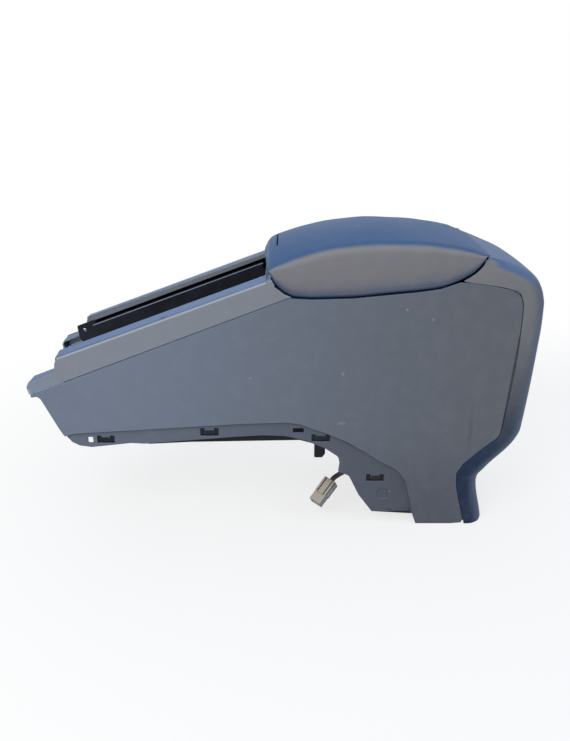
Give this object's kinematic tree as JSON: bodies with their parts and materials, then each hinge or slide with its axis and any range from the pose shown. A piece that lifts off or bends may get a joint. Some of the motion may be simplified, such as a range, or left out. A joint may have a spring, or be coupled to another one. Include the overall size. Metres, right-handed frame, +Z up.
{
  "type": "car centre armrest",
  "caption": "Rear section of a car's centre console with a hinged armrest lid over a storage bin, sloping front rails, wrap-round rear cover and a loose harness connector.",
  "frame": {"origin": "midway between the two floor bolt holes, on the floor", "axes": "X from the dashboard to the rear seats, Y across the car, Z up"},
  "size_m": [0.6971, 0.21, 0.4205],
  "materials": {
    "panel_grain": "moulded plastic with fine leather grain",
    "trim_grain": "moulded plastic with fine grain, slightly lighter",
    "cover_grain": "moulded plastic with fine leather grain",
    "inner_black": "plain dark moulded plastic",
    "lid_skin": "soft moulded skin with fine grain",
    "rubber_black": "matt rubber",
    "steel_black": "black coated pressed steel",
    "zinc_steel": "zinc plated steel",
    "socket_metal": "nickel plated barrel",
    "cable_black": "black cable sheath",
    "connector_white": "off-white moulded nylon",
    "terminal_brass": "tinned brass"
  },
  "bodies": {
    "root": {"side_panel_left": "panel_grain", "side_panel_right": "panel_grain", "upper_trim": "trim_grain", "rear_cover": "cover_grain", "tray_carrier": "inner_black", "storage_bin": "inner_black", "bin_mat": "rubber_black", "panel_clips": "steel_black", "trim_screws": "zinc_steel", "bin_screws": "zinc_steel", "floor_bracket": "steel_black", "floor_bracket_screws": "zinc_steel", "hinge_bracket": "steel_black", "hinge_bracket_screws": "zinc_steel", "hinge_pin": "zinc_steel", "striker": "zinc_steel", "striker_screws": "zinc_steel", "power_socket": "socket_metal", "socket_bezel": "inner_black", "cable_clip": "inner_black", "harness_cable": "cable_black", "harness_sleeve": "cable_black", "harness_connector": "connector_white", "connector_terminals": "terminal_brass"},
    "lid": {"lid_pad": "lid_skin", "lid_inner": "inner_black", "bump_stops": "rubber_black", "hinge_arms": "steel_black", "hinge_arm_screws": "zinc_steel", "latch_pin": "zinc_steel", "latch_spring": "zinc_steel"},
    "lever": {"latch_lever": "lid_skin"}
  },
  "joints": [
    {"name": "lid_hinge", "type": "hinge", "parent": "root", "child": "lid", "pos_m": [0.042, 0, 0.372], "axis": [0, 1, 0], "range_deg": [0, 80]},
    {"name": "release_lever", "type": "hinge", "parent": "lid", "child": "lever", "pos_m": [-0.2435, 0, 0.379], "axis": [0, 1, 0], "range_deg": [0, 9], "stiffness_Nm_per_rad": 0.4, "springref_deg": -5.73}
  ]
}
